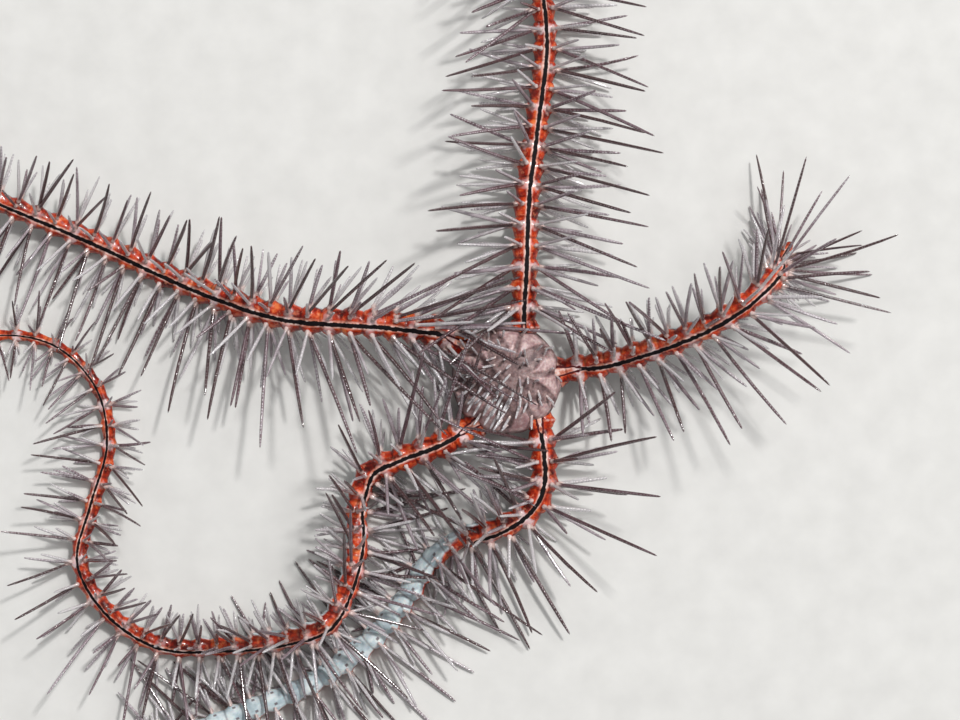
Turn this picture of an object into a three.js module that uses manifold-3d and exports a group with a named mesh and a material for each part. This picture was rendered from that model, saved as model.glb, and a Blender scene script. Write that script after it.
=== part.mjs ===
// A long-spined brittle star, life size, lying on a level floor with its arms spread.
// Millimetres, +Z up. The origin is the middle of the mouth, on the floor.
import * as THREE from 'three';
import { mergeVertices } from 'three/addons/utils/BufferGeometryUtils.js';
import Module from 'manifold-3d';

const wasm = await Module();
wasm.setup();

// Sizes of the disc
const DISC_RADIUS_AT_ARM = 5.8;
const DISC_RADIUS_BETWEEN_ARMS = 5.45;
const DISC_TOP = 4.5;
const DISC_RIM_HEIGHT = 2.7;
const DISC_UNDERSIDE = 0.95;
const DISC_FACETS = 40;
const SHIELD_RELIEF = 0.2;
const UNDERARM_RIDGE = 0.4;
const SPINELETS = 30;
const SPINELET_LENGTH = 2;
const SPINELET_RADIUS = 0.3;

// Sizes of the mouth plate, five jaws with a slit between each two
const JAW_RADIUS = 2.8;
const JAW_THICKNESS = 0.5;
const MOUTH_SLIT_WIDTH = 0.4;
const MOUTH_CORE_RADIUS = 0.6;

// Sizes shared by the arms
const GAP = 0.3;
const JOINT_PITCH = 2.4;
const SCALLOP_DEPTH = 0.09;
const SCALLOPED_LENGTHS = 2;
const INNER_SIDES = 8;
const OUTER_SIDES = 6;
const HEIGHT_TO_WIDTH = 0.84;
const TIP_WIDTH = 0.9;

// Sizes of the arm spines
const SPINE_RADIUS = 0.35;
const SPINE_PLACE = 0.75;
const SPINE_ROOT_SHARE = 0.35;
const SPINE_BEND_SHARE = 0.6;
const SPINE_DROOP = 0.03;
const SPINE_CHANGE = 25;
const CLEARANCE = 0.32;
const FLOOR_CLEARANCE = 0.12;

// Spine rows on each side of a joint: how far the spine rises above the side of the arm, in
// degrees, and its length. Rows take turns from joint to joint.
const EVEN_JOINT_ROWS = [{ rise: 36, length: 12.8 }, { rise: 0, length: 5.8 }];
const ODD_JOINT_ROWS = [{ rise: 20, length: 9.4 }];

// The five arms. Each path is x, y and the height of the underside, from the disc to the tip.
// Taper is the power of the share of its length by which an arm narrows. Splits count the joints
// from the disc at which a new length begins. Spines scales the length of the spines, at the
// disc and from the change on. Sweep is how far they lean towards the tip, in degrees, at the
// disc and further out, and over what distance it changes. Roll is the distance along the arm
// and how far its back is turned there, in degrees.
const ARMS = [
  {
    name: 'arm_a', angle: 72, width: 2.6, taper: 1.3, spines: [1.05, 1.05],
    splits: [0, 8, 17, 29], sweep: [-24, -5, 6],
    roll: [[0, 0], [6, 10], [105, 0]],
    path: [[1.75, 6, 0.9], [1.85, 12, 1.7], [2.1, 18, 1.2], [3, 25.1, 0], [3.9, 33, 0],
      [3.3, 39.5, 1.1], [0.8, 54, 1.3], [-2.6, 67, 0], [-2.6, 80, 0.6], [2, 93, 0], [7.5, 102, 0]]
  },
  {
    name: 'arm_b', angle: 8, width: 2.55, taper: 4, spines: [0.55, 1.1],
    splits: [0, 7], sweep: [-5, 40, 16],
    roll: [[0, 0], [4, 22], [20, 25], [32, 0]],
    path: [[6.1, 0.9, 0.9], [10.1, 1.7, 1.8], [14.6, 3.1, 3.6], [19.2, 5, 5.8], [22.5, 7, 7.2],
      [24.9, 9, 7.3], [26.2, 10.3, 5.6], [26.8, 11, 3], [27.1, 11.5, 0.8], [27.7, 12.4, 0],
      [28.5, 13.7, 0]]
  },
  {
    name: 'arm_c', angle: -56, width: 2.6, taper: 1.3, spines: [0.95, 0.95],
    splits: [0, 5, 12, 21, 33], sweep: [-14, 4, 8],
    roll: [[0, 0], [8, -8], [13, -40], [21, -140], [30, -160], [46, -160], [74, -20], [110, 0]],
    path: [[3.4, -5, 0.9], [3.75, -8.2, 1.2], [3.6, -10.6, 1.2], [2.3, -13.1, 0.9],
      [-0.9, -14.8, 0.3], [-4.6, -15.9, 0], [-7.6, -18.2, 0], [-9.7, -21.4, 0], [-12.9, -25.4, 0],
      [-18.9, -30, 0], [-27, -33.4, 0.9], [-38, -37.5, 1.2], [-52, -41.6, 0], [-66, -43, 0.5],
      [-80, -41, 0]]
  },
  {
    name: 'arm_d', angle: -127, width: 2.6, taper: 1.3, spines: [0.88, 0.88],
    splits: [0, 4, 12, 20, 31], sweep: [-40, -2, 8],
    roll: [[0, 0], [9, -12], [13, -45], [32, -38], [56, -15], [108, 0]],
    path: [[-3.7, -4.8, 0.9], [-5.9, -6.2, 1.2], [-10.8, -8, 1.2], [-13.7, -9.5, 0.6],
      [-14.9, -12.6, 0.2], [-14.8, -16.4, 1], [-15.7, -20.6, 2.9], [-17.6, -24, 3.6],
      [-21.8, -25.6, 2.4], [-28.4, -26.6, 0], [-34.6, -26.4, 0], [-39.6, -23, 0.9],
      [-42.3, -18.2, 1], [-41.2, -12.6, 0], [-39.6, -6.6, 0], [-40.6, -1, 0.5], [-44.6, 3.2, 0.4],
      [-50, 4.4, 0], [-55.5, 3, 0]]
  },
  {
    name: 'arm_e', angle: 143, width: 2.8, taper: 1.3, spines: [1.1, 1],
    splits: [0, 7, 17, 30], sweep: [-85, 6, 12],
    roll: [[0, 0], [5, -22], [60, -18], [108, 0]],
    path: [[-4.9, 3.7, 0.9], [-6.8, 4.7, 1.8], [-10.5, 5.3, 3.2], [-14.6, 5.6, 4], [-21.9, 6.2, 3],
      [-29.6, 8.6, 0.4], [-33.2, 10.1, 0], [-40.3, 13.4, 0], [-48.3, 16.8, 1.4], [-59, 21, 1.4],
      [-69, 23.4, 0], [-80, 23, 0.6], [-91, 19.6, 0], [-102, 16, 0]]
  }
];

const ARM_RED = new THREE.MeshStandardMaterial({ color: '#b8412a', roughness: 0.5, metalness: 0 });
const DISC_PINK = new THREE.MeshStandardMaterial({ color: '#b08a92', roughness: 0.55, metalness: 0 });
const JAW_PALE = new THREE.MeshStandardMaterial({ color: '#c9c6c4', roughness: 0.6, metalness: 0 });

// One repeatable stream of random numbers.
let randomState = 20571;
function spread(middle, reach) {
  randomState = (randomState * 48271) % 2147483647;
  return middle + reach * (2 * randomState / 2147483647 - 1);
}
const radians = THREE.MathUtils.degToRad;

// A closed geometry becomes a solid.
function solidOf(geometry) {
  const bare = geometry.clone();
  bare.deleteAttribute('normal');
  bare.deleteAttribute('uv');
  const merged = mergeVertices(bare, 1e-5);
  return new wasm.Manifold(new wasm.Mesh({
    numProp: 3,
    vertProperties: new Float32Array(merged.attributes.position.array),
    triVerts: new Uint32Array(merged.index.array)
  }));
}

// Join pieces into one solid and keep its largest closed surface.
function fuse(pieces) {
  let whole = solidOf(pieces[0]);
  for (const piece of pieces.slice(1)) whole = whole.add(solidOf(piece));
  const parts = whole.decompose().sort((a, b) => b.volume() - a.volume());
  const mesh = parts[0].getMesh();
  const geometry = new THREE.BufferGeometry();
  geometry.setAttribute('position', new THREE.BufferAttribute(new Float32Array(mesh.vertProperties), 3));
  geometry.setIndex(new THREE.BufferAttribute(new Uint32Array(mesh.triVerts), 1));
  geometry.computeVertexNormals();
  return geometry;
}

// Move every vertex of a geometry by a function of its place.
function reshape(geometry, place) {
  const position = geometry.attributes.position;
  const point = new THREE.Vector3();
  for (let i = 0; i < position.count; i += 1) {
    place(point.fromBufferAttribute(position, i));
    position.setXYZ(i, point.x, point.y, point.z);
  }
  return geometry;
}

// Give an arm its curve and its number of joints.
function trace(arm) {
  const points = arm.path.map((place) => new THREE.Vector3(...place));
  arm.curve = new THREE.CatmullRomCurve3(points, false, 'centripetal');
  arm.curve.arcLengthDivisions = 1200;
  arm.joints = Math.floor(arm.curve.getLength() / JOINT_PITCH);
}

// How far an arm's back is turned at a distance along it, in radians.
function rollAt(arm, along) {
  const next = arm.roll.findIndex(([place]) => place > along);
  if (next < 1) return radians(arm.roll.at(-1)[1]);
  const [place, turn] = arm.roll[next - 1];
  const [nextPlace, nextTurn] = arm.roll[next];
  const share = THREE.MathUtils.smoothstep(along, place, nextPlace);
  return radians(turn + (nextTurn - turn) * share);
}

// Middle, directions and half sizes of an arm's section at a distance along it.
function section(arm, along) {
  const share = THREE.MathUtils.clamp(along / arm.curve.getLength(), 0, 1);
  const middle = arm.curve.getPointAt(share);
  const forward = arm.curve.getTangentAt(share);
  const up = new THREE.Vector3(0, 0, 1).addScaledVector(forward, -forward.z).normalize();
  const roll = rollAt(arm, along);
  up.applyAxisAngle(forward, roll);
  const side = new THREE.Vector3().crossVectors(forward, up);
  const width = TIP_WIDTH + (arm.width - TIP_WIDTH) * (1 - share ** arm.taper);
  const halfWidth = width / 2;
  const halfHeight = halfWidth * HEIGHT_TO_WIDTH;
  const reachDown = Math.hypot(halfHeight * Math.cos(roll), halfWidth * Math.sin(roll));
  middle.z = Math.max(middle.z, 0) + reachDown * 0.88;
  return { middle, forward, up, side, halfWidth, halfHeight };
}

// The core of one length of arm. The inner lengths are wide at the middle of each joint and
// narrow where two meet. The underside is cut flat where it lies on the floor.
function armCore(arm, firstJoint, lastJoint, index) {
  const inner = index < SCALLOPED_LENGTHS;
  const sides = inner ? INNER_SIDES : OUTER_SIDES;
  const rings = (lastJoint - firstJoint) * (inner ? 2 : 1);
  const core = new THREE.CylinderGeometry(1, 1, 1, sides, rings, false, Math.PI / sides);
  return reshape(core, (point) => {
    const ring = Math.round((point.y + 0.5) * rings);
    let along = (firstJoint + ring * (lastJoint - firstJoint) / rings) * JOINT_PITCH;
    if (ring === 0) along += GAP / 2;
    if (ring === rings) along -= GAP / 2;
    const cut = section(arm, along);
    const wide = ring % 2 === 1 ? SCALLOP_DEPTH : -SCALLOP_DEPTH;
    const scallop = inner ? wide : 0;
    const across = point.x * cut.halfWidth * (1 + scallop);
    const rise = point.z * cut.halfHeight * (1 + scallop / 2);
    point.copy(cut.middle).addScaledVector(cut.side, across).addScaledVector(cut.up, rise);
    point.z = Math.max(point.z, 0);
  });
}

// A three-sided spine through its root, bend and tip.
function spineGeometry(spine) {
  const forward = new THREE.Vector3().subVectors(spine.tip, spine.root).normalize();
  const turn = new THREE.Quaternion().setFromUnitVectors(new THREE.Vector3(0, 1, 0), forward);
  return reshape(new THREE.ConeGeometry(spine.radius, 1, 3, 2), (point) => {
    const station = Math.round(point.y * 2);
    const middle = [spine.root, spine.bend, spine.tip][station + 1];
    const fullness = [1, 1.7, 0][station + 1];
    point.y = 0;
    point.multiplyScalar(fullness).applyQuaternion(turn).add(middle);
  });
}

// Every core and spine made so far, against which the next spine is tested.
const coreStretches = [];
const placedSpines = [];

function noteCore(node, arm, firstJoint, lastJoint) {
  for (let joint = firstJoint; joint < lastJoint; joint += 1) {
    const start = section(arm, joint * JOINT_PITCH);
    const end = section(arm, (joint + 1) * JOINT_PITCH);
    const radius = Math.max(start.halfWidth, end.halfWidth) * (1 + SCALLOP_DEPTH);
    coreStretches.push({ node, line: new THREE.Line3(start.middle, end.middle), radius });
  }
}

// Whether a point of a spine lies too close to the core of another node.
function nearCore(node, point, radius) {
  const nearest = new THREE.Vector3();
  for (const stretch of coreStretches) {
    if (stretch.node === node) continue;
    const share = stretch.line.closestPointToPointParameter(point, false);
    const margin = (CLEARANCE + radius) / JOINT_PITCH;
    if (share < -margin || share > 1 + margin) continue;
    stretch.line.at(share, nearest);
    if (nearest.distanceTo(point) < stretch.radius + radius + CLEARANCE) return true;
  }
  return false;
}

// Top of the disc over a distance from its middle, as a share of its radius.
function discTop(share) {
  return DISC_RIM_HEIGHT + (DISC_TOP - DISC_RIM_HEIGHT) * (1 - Math.min(share, 1) ** 2.4) ** 0.8;
}

function nearDisc(point, radius) {
  const out = Math.hypot(point.x, point.y);
  if (out > DISC_RADIUS_AT_ARM + CLEARANCE + radius) return false;
  return point.z < discTop(out / DISC_RADIUS_AT_ARM) + SHIELD_RELIEF + CLEARANCE + radius;
}

// Whether a spine keeps clear of the floor, of other nodes and of every other spine.
function isClear(spine) {
  if (Math.min(spine.tip.z, spine.bend.z - spine.radius) < FLOOR_CLEARANCE - 0.01) return false;
  const lower = new THREE.Line3(spine.root.clone().lerp(spine.bend, spine.sunk), spine.bend);
  const upper = new THREE.Line3(spine.bend, spine.tip);
  const sample = new THREE.Vector3();
  for (let step = 0; step <= 20; step += 1) {
    if (step <= 10) lower.at(step / 10, sample);
    else upper.at(step / 10 - 1, sample);
    if (nearCore(spine.node, sample, spine.radius)) return false;
    if (spine.node !== 'disc' && nearDisc(sample, spine.radius)) return false;
  }
  for (const other of placedSpines) {
    const reach = spine.length + other.length + CLEARANCE;
    if (spine.root.distanceTo(other.root) > reach) continue;
    const room = spine.radius + other.radius + (other.node === spine.node ? 0.02 : CLEARANCE);
    for (const mine of [lower, upper]) {
      for (const theirs of other.lines) {
        if (mine.distanceSqToLine3(theirs) < room * room) return false;
      }
    }
  }
  spine.lines = [lower, upper];
  return true;
}

// Ways to bend a spine clear: extra lift, extra sweep in degrees and share of its length.
const TRIES = [[0, 0, 1], [0.15, 0, 1], [0, 11, 1], [0, -11, 1], [0.3, 0, 0.95], [0.25, 14, 0.85],
  [0.25, -14, 0.85], [0.5, 0, 0.8], [0.1, 22, 0.75], [0.1, -22, 0.75], [0.8, 0, 0.7], [0, 0, 0.65],
  [0.6, 18, 0.6], [0.6, -18, 0.6], [1.4, 0, 0.6], [0.3, 0, 0.45]];

// A direction raised until a spine of this reach stays above the floor.
function aboveFloor(direction, root, reach, radius) {
  const least = Math.max(
    (FLOOR_CLEARANCE + radius - root.z) / (reach * SPINE_BEND_SHARE),
    (FLOOR_CLEARANCE + reach * SPINE_DROOP - root.z) / reach
  );
  if (direction.z >= least) return direction;
  const level = Math.hypot(direction.x, direction.y);
  const keep = Math.sqrt(1 - least * least) / level;
  return direction.set(direction.x * keep, direction.y * keep, least);
}

// Place the spines of one joint, both sides, and return their geometries.
function jointSpines(node, arm, joint, rows) {
  const along = (joint + SPINE_PLACE) * JOINT_PITCH;
  const cut = section(arm, along);
  const size = (cut.halfWidth * 2 / arm.width) ** 0.85;
  const [atDisc, further, fade] = arm.sweep;
  const sweep = further + (atDisc - further) * Math.exp(-along / fade);
  const fullness = THREE.MathUtils.lerp(...arm.spines, Math.min(along / SPINE_CHANGE, 1));
  const radius = Math.min(SPINE_RADIUS, cut.halfHeight * 0.62);
  const made = [];
  for (const row of rows) {
    for (const hand of [-1, 1]) {
      const rise = radians(spread(row.rise, 6));
      const lean = spread(sweep, 7);
      const length = row.length * fullness * size * spread(0.95, 0.1);
      const outward = cut.side.clone().multiplyScalar(hand * Math.cos(rise));
      outward.addScaledVector(cut.up, Math.sin(rise));
      const root = cut.middle.clone().addScaledVector(outward, cut.halfWidth * SPINE_ROOT_SHARE);
      for (const [lift, swing, share] of TRIES) {
        const swept = radians(lean + swing);
        const reach = length * share + cut.halfWidth * (1 - SPINE_ROOT_SHARE);
        const direction = outward.clone().multiplyScalar(Math.cos(swept));
        direction.addScaledVector(cut.forward, Math.sin(swept));
        direction.z += lift;
        aboveFloor(direction.normalize(), root, reach, radius);
        const bend = root.clone().addScaledVector(direction, reach * SPINE_BEND_SHARE);
        const tip = root.clone().addScaledVector(direction, reach);
        tip.z -= reach * SPINE_DROOP;
        const sunk = cut.halfWidth * (1.1 - SPINE_ROOT_SHARE) / (reach * SPINE_BEND_SHARE);
        const spine = { node, root, bend, tip, radius, length: reach, sunk };
        if (!isClear(spine)) continue;
        placedSpines.push(spine);
        made.push(spineGeometry(spine));
        break;
      }
    }
  }
  return made;
}

// Build the arms, each in lengths that meet face to face.
function buildArms() {
  const lengths = [];
  for (const arm of ARMS) {
    trace(arm);
    arm.splits.forEach((firstJoint, index) => {
      const lastJoint = arm.splits[index + 1] ?? arm.joints;
      const node = `${arm.name}_${index + 1}`;
      noteCore(node, arm, firstJoint, lastJoint);
      const core = armCore(arm, firstJoint, lastJoint, index);
      lengths.push({ node, arm, firstJoint, lastJoint, pieces: [core] });
    });
  }
  [EVEN_JOINT_ROWS, ODD_JOINT_ROWS].forEach((rows, odd) => {
    for (const length of lengths) {
      const start = length.firstJoint + (length.firstJoint + odd) % 2;
      for (let joint = start; joint < length.lastJoint; joint += 2) {
        length.pieces.push(...jointSpines(length.node, length.arm, joint, rows));
      }
    }
  });
  return lengths.map((length) => named(length.node, fuse(length.pieces), ARM_RED));
}

function named(name, geometry, material) {
  const mesh = new THREE.Mesh(geometry, material);
  mesh.name = name;
  return mesh;
}

// How close a direction is to the nearest arm: 1 along an arm, 0 midway between two.
function armCloseness(angle) {
  const halfTurn = Math.PI;
  const turns = ARMS.map((arm) => {
    const off = angle - radians(arm.angle) + halfTurn;
    return Math.abs(THREE.MathUtils.euclideanModulo(off, 2 * halfTurn) - halfTurn);
  }).sort((a, b) => a - b);
  return { share: 1 - 2 * turns[0] / (turns[0] + turns[1]), turn: turns[0] };
}

// The disc: a low dome with paired shield plates over each arm, and on the underside a ridge
// running in from each arm to the mouth.
function buildDisc() {
  const shares = [0, 0.3, 0.55, 0.7, 0.82, 0.92, 0.985];
  const profile = [];
  for (const share of shares) profile.push(new THREE.Vector2(share, discTop(share)));
  profile.push(new THREE.Vector2(1, DISC_RIM_HEIGHT - 0.7));
  profile.push(new THREE.Vector2(0.97, DISC_UNDERSIDE + 0.35));
  for (const share of [0.88, 0.72, 0.5, 0.25, 0]) profile.push(new THREE.Vector2(share, DISC_UNDERSIDE));
  const lathe = new THREE.LatheGeometry(profile.reverse(), DISC_FACETS);
  lathe.rotateX(Math.PI / 2);
  const body = reshape(lathe, (point) => {
    const share = Math.hypot(point.x, point.y);
    const angle = Math.atan2(point.y, point.x);
    const close = armCloseness(angle);
    const span = DISC_RADIUS_AT_ARM - DISC_RADIUS_BETWEEN_ARMS;
    const scale = DISC_RADIUS_BETWEEN_ARMS + span * close.share ** 2;
    point.x *= scale;
    point.y *= scale;
    if (point.z > DISC_RIM_HEIGHT - 0.5 && share > 0.5 && share < 0.95) {
      point.z += SHIELD_RELIEF * Math.exp(-(((close.turn - 0.17) / 0.1) ** 2));
    }
    if (point.z < DISC_UNDERSIDE + 0.01 && share > 0.52) {
      point.z -= UNDERARM_RIDGE * Math.exp(-((close.turn * share / 0.2) ** 2));
    }
  });
  return named('disc', fuse([body, ...buildSpinelets()]), DISC_PINK);
}

// Short spines spread evenly over the top of the disc.
function buildSpinelets() {
  const made = [];
  for (let i = 0; i < SPINELETS; i += 1) {
    const out = 0.94 * Math.sqrt((i + 0.6) / SPINELETS);
    const angle = i * 2.39996;
    const root = new THREE.Vector3(Math.cos(angle), Math.sin(angle), 0).multiplyScalar(out * 5.3);
    root.z = discTop(out) - 0.35;
    const lean = new THREE.Vector3(Math.cos(angle), Math.sin(angle), 0).multiplyScalar(out * 0.6);
    const direction = lean.add(new THREE.Vector3(spread(0, 0.25), spread(0, 0.25), 1)).normalize();
    for (const share of [1, 0.75, 0.5]) {
      const length = 0.35 + SPINELET_LENGTH * share;
      const bend = root.clone().addScaledVector(direction, length * 0.55);
      const tip = root.clone().addScaledVector(direction, length);
      const spine = { node: 'disc', root, bend, tip, radius: SPINELET_RADIUS, length, sunk: 0.35 };
      if (!isClear(spine)) continue;
      placedSpines.push(spine);
      made.push(spineGeometry(spine));
      break;
    }
  }
  return made;
}

// The mouth plate: jaws between narrow slits that run out under the arms.
function buildMouth() {
  const outline = new THREE.Shape();
  const order = ARMS.map((arm) => radians(arm.angle)).sort((a, b) => a - b);
  order.forEach((angle, index) => {
    const next = order[(index + 1) % order.length] + (index === order.length - 1 ? 2 * Math.PI : 0);
    const inner = Math.asin(MOUTH_SLIT_WIDTH / 2 / MOUTH_CORE_RADIUS);
    const outer = Math.asin(MOUTH_SLIT_WIDTH / 2 / JAW_RADIUS);
    const corners = [[MOUTH_CORE_RADIUS, angle + inner], [JAW_RADIUS, angle + outer]];
    for (const share of [0.25, 0.5, 0.75]) corners.push([JAW_RADIUS, angle + (next - angle) * share]);
    corners.push([JAW_RADIUS, next - outer], [MOUTH_CORE_RADIUS, next - inner]);
    corners.forEach(([radius, turn], corner) => {
      const x = radius * Math.cos(turn);
      const y = radius * Math.sin(turn);
      if (index === 0 && corner === 0) outline.moveTo(x, y);
      else outline.lineTo(x, y);
    });
  });
  const plate = new THREE.ExtrudeGeometry(outline, { depth: JAW_THICKNESS, bevelEnabled: false });
  return named('mouth', fuse([plate]), JAW_PALE);
}

const group = new THREE.Group();
group.add(...buildArms());
group.add(buildDisc());
group.add(buildMouth());
export default group;
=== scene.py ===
import bpy
import numpy as np
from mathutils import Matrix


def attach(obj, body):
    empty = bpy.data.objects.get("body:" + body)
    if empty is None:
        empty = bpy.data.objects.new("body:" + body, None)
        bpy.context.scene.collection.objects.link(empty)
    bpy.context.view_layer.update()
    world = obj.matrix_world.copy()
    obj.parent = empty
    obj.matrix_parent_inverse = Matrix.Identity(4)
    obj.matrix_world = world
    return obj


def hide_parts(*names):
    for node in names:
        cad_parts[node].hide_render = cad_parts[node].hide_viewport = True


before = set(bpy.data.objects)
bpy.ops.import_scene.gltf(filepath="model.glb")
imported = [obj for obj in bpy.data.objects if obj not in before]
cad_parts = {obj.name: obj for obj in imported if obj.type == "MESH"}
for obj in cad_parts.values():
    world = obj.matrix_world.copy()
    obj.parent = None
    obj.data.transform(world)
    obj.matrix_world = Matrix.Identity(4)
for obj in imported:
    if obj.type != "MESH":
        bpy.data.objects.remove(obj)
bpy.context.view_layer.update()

# Arms
# The five arms are rows of small limestone joints, each with a plate on its back, one below and
# one at each side that carries the spines, all grown together under a thin coloured skin. They
# run in under the edge of the disc, so they are made as five closed tubes from inside the disc.

MM = 0.001
JOINT_PITCH = 2.0
TIP_WIDTH = 0.9
HEIGHT_TO_WIDTH = 0.84
# Width of the skin as a share of the solids'; its side plates and knobs stand out from there.
SKIN_SHARE = 0.98
AROUND = 40
UNDER_DISC = 2.6
# Rings stand closest up to here, as far as the arms are seen well. The others end a little
# before the tip, which is rounded off over its last stretch.
FINE_REACH = 36.0
FINE_STEP = 0.2
COARSE_STEP = 0.4
BEFORE_TIP = 0.8
TIP_ROUND = 0.6

# Places and widths in mm, turns in degrees. An arm's angle is its place round the disc, its
# taper the power by which it narrows, and spines the fullness of their lengths at the disc and
# further out. Sweep is how far the spines lean to the tip at the disc and further out, and the
# distance over which the one fades into the other. The black line starts at line_from, the roll
# turns the arm's back at each distance given, a tuft is a stretch whose topmost spines are
# long, and the path is the middle of the arm's lower side.
ARMS = {
    "arm_a": {
        "angle": 72, "width": 2.6, "taper": 1.3, "spines": (1.05, 1.05), "sweep": (-24, -5, 6),
        "line_from": -0.6, "roll": [(0, 0), (6, 10), (105, 0)],
        "path": [(1.75, 6, 0.9), (1.85, 12, 1.7), (2.1, 18, 1.2), (3, 25.1, 0), (3.9, 33, 0),
                 (3.3, 39.5, 1.1), (0.8, 54, 1.3), (-2.6, 67, 0), (-2.6, 80, 0.6), (2, 93, 0),
                 (7.5, 102, 0)],
    },
    "arm_b": {
        "angle": 8, "width": 2.55, "taper": 4, "spines": (0.55, 1.1), "sweep": (-5, 40, 16),
        "line_from": 1.5, "roll": [(0, 0), (4, 22), (20, 25), (32, 0)], "tuft": (21.5, 27.5),
        "path": [(6.1, 0.9, 0.9), (10.1, 1.7, 1.8), (14.6, 3.1, 3.6), (19.2, 5, 5.8),
                 (22.5, 7, 7.2), (24.9, 9, 7.3), (26.2, 10.3, 5.6), (26.8, 11, 3),
                 (27.1, 11.5, 0.8), (27.7, 12.4, 0), (28.5, 13.7, 0)],
    },
    "arm_c": {
        "angle": -56, "width": 2.6, "taper": 1.3, "spines": (0.95, 0.95), "sweep": (-14, 4, 8),
        "line_from": 0.4,
        "roll": [(0, 0), (8, -8), (13, -40), (21, -140), (30, -160), (46, -160), (74, -20),
                 (110, 0)],
        "path": [(3.4, -5, 0.9), (3.75, -8.2, 1.2), (3.6, -10.6, 1.2), (2.3, -13.1, 0.9),
                 (-0.9, -14.8, 0.3), (-4.6, -15.9, 0), (-7.6, -18.2, 0), (-9.7, -21.4, 0),
                 (-12.9, -25.4, 0), (-18.9, -30, 0), (-27, -33.4, 0.9), (-38, -37.5, 1.2),
                 (-52, -41.6, 0), (-66, -43, 0.5), (-80, -41, 0)],
    },
    "arm_d": {
        "angle": -127, "width": 2.6, "taper": 1.3, "spines": (0.88, 0.88), "sweep": (-40, -2, 8),
        "line_from": 1.2,
        "roll": [(0, 0), (9, -12), (13, -45), (32, -38), (56, -15), (108, 0)],
        "path": [(-3.7, -4.8, 0.9), (-5.9, -6.2, 1.2), (-10.8, -8, 1.2), (-13.7, -9.5, 0.6),
                 (-14.9, -12.6, 0.2), (-14.8, -16.4, 1), (-15.7, -20.6, 2.9), (-17.6, -24, 3.6),
                 (-21.8, -25.6, 2.4), (-28.4, -26.6, 0), (-34.6, -26.4, 0), (-39.6, -23, 0.9),
                 (-42.3, -18.2, 1), (-41.2, -12.6, 0), (-39.6, -6.6, 0), (-40.6, -1, 0.5),
                 (-44.6, 3.2, 0.4), (-50, 4.4, 0), (-55.5, 3, 0)],
    },
    "arm_e": {
        "angle": 143, "width": 2.8, "taper": 1.3, "spines": (1.1, 1.0), "sweep": (-85, 6, 12),
        "line_from": 1.6, "roll": [(0, 0), (5, -22), (60, -18), (108, 0)],
        "path": [(-4.9, 3.7, 0.9), (-6.8, 4.7, 1.8), (-10.5, 5.3, 3.2), (-14.6, 5.6, 4),
                 (-21.9, 6.2, 3), (-29.6, 8.6, 0.4), (-33.2, 10.1, 0), (-40.3, 13.4, 0),
                 (-48.3, 16.8, 1.4), (-59, 21, 1.4), (-69, 23.4, 0), (-80, 23, 0.6),
                 (-91, 19.6, 0), (-102, 16, 0)],
    },
}


def course(path):
    """Centripetal Catmull-Rom curve through a path's points: between each two, the cubic whose
    end slopes follow the square roots of the distances to the points before and after. It is
    carried on straight at its start, in under the disc. Returns points and distances."""
    place = np.array(path, float)
    place = np.vstack([2 * place[0] - place[1], place, 2 * place[-1] - place[-2]])
    gap = np.sqrt(np.linalg.norm(np.diff(place, axis=0), axis=1))[:, None]
    p0, p1, p2, p3 = place[:-3], place[1:-2], place[2:-1], place[3:]
    g0, g1, g2 = gap[:-2], gap[1:-1], gap[2:]
    slope1 = ((p1 - p0) / g0 - (p2 - p0) / (g0 + g1) + (p2 - p1) / g1) * g1
    slope2 = ((p2 - p1) / g1 - (p3 - p1) / (g1 + g2) + (p3 - p2) / g2) * g1
    t = np.linspace(0, 1, 60, endpoint=False)[:, None, None]
    curve = (p1 + slope1 * t + (3 * (p2 - p1) - 2 * slope1 - slope2) * t**2
             + (2 * (p1 - p2) + slope1 + slope2) * t**3)
    line = np.vstack([curve.transpose(1, 0, 2).reshape(-1, 3), place[-2]])
    distance = np.append(0, np.cumsum(np.linalg.norm(np.diff(line, axis=0), axis=1)))
    inward = line[0] - line[8]
    inward[2] = 0
    inward *= UNDER_DISC / np.linalg.norm(inward)
    return np.vstack([line[0] + inward, line]), np.append(-UNDER_DISC, distance)


def sections(arm, along):
    """Cross-sections at distances along an arm. Up is the vertical made square to the way
    forward and turned about it by the arm's roll, and side is forward crossed with up. The
    width falls as one less the share of the length to a power. The middle is lifted by most of
    the section's lowest reach, so that the arm lies on the floor on a narrow flat."""
    line, distance = arm["line"]
    share = np.clip(along / distance[-1], 0, 1)
    middle = np.stack([np.interp(along, distance, line[:, i]) for i in range(3)], 1)
    slope = np.gradient(line, distance, axis=0)
    forward = np.stack([np.interp(along, distance, slope[:, i]) for i in range(3)], 1)
    forward /= np.linalg.norm(forward, axis=1, keepdims=True)
    stops, turns = np.array(arm["roll"], float).T
    i = np.clip(np.searchsorted(stops, along, side="right") - 1, 0, len(stops) - 2)
    t = np.clip((along - stops[i]) / (stops[i + 1] - stops[i]), 0, 1)
    roll = np.radians(turns[i] + (turns[i + 1] - turns[i]) * t * t * (3 - 2 * t))
    level = np.array([0, 0, 1.0]) - forward * forward[:, 2:]
    level /= np.linalg.norm(level, axis=1, keepdims=True)
    across = np.cross(forward, level)
    up = level * np.cos(roll)[:, None] + across * np.sin(roll)[:, None]
    side = np.cross(forward, up)
    half = (TIP_WIDTH + (arm["width"] - TIP_WIDTH) * (1 - share ** arm["taper"])) / 2
    lowest = np.hypot(half * HEIGHT_TO_WIDTH * np.cos(roll), half * np.sin(roll))
    middle[:, 2] = np.maximum(middle[:, 2], 0) + 0.88 * lowest
    return middle, forward, up, side, half


for arm in ARMS.values():
    arm["line"] = course(arm["path"])
    arm["length"] = arm["line"][1][-1]

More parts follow.
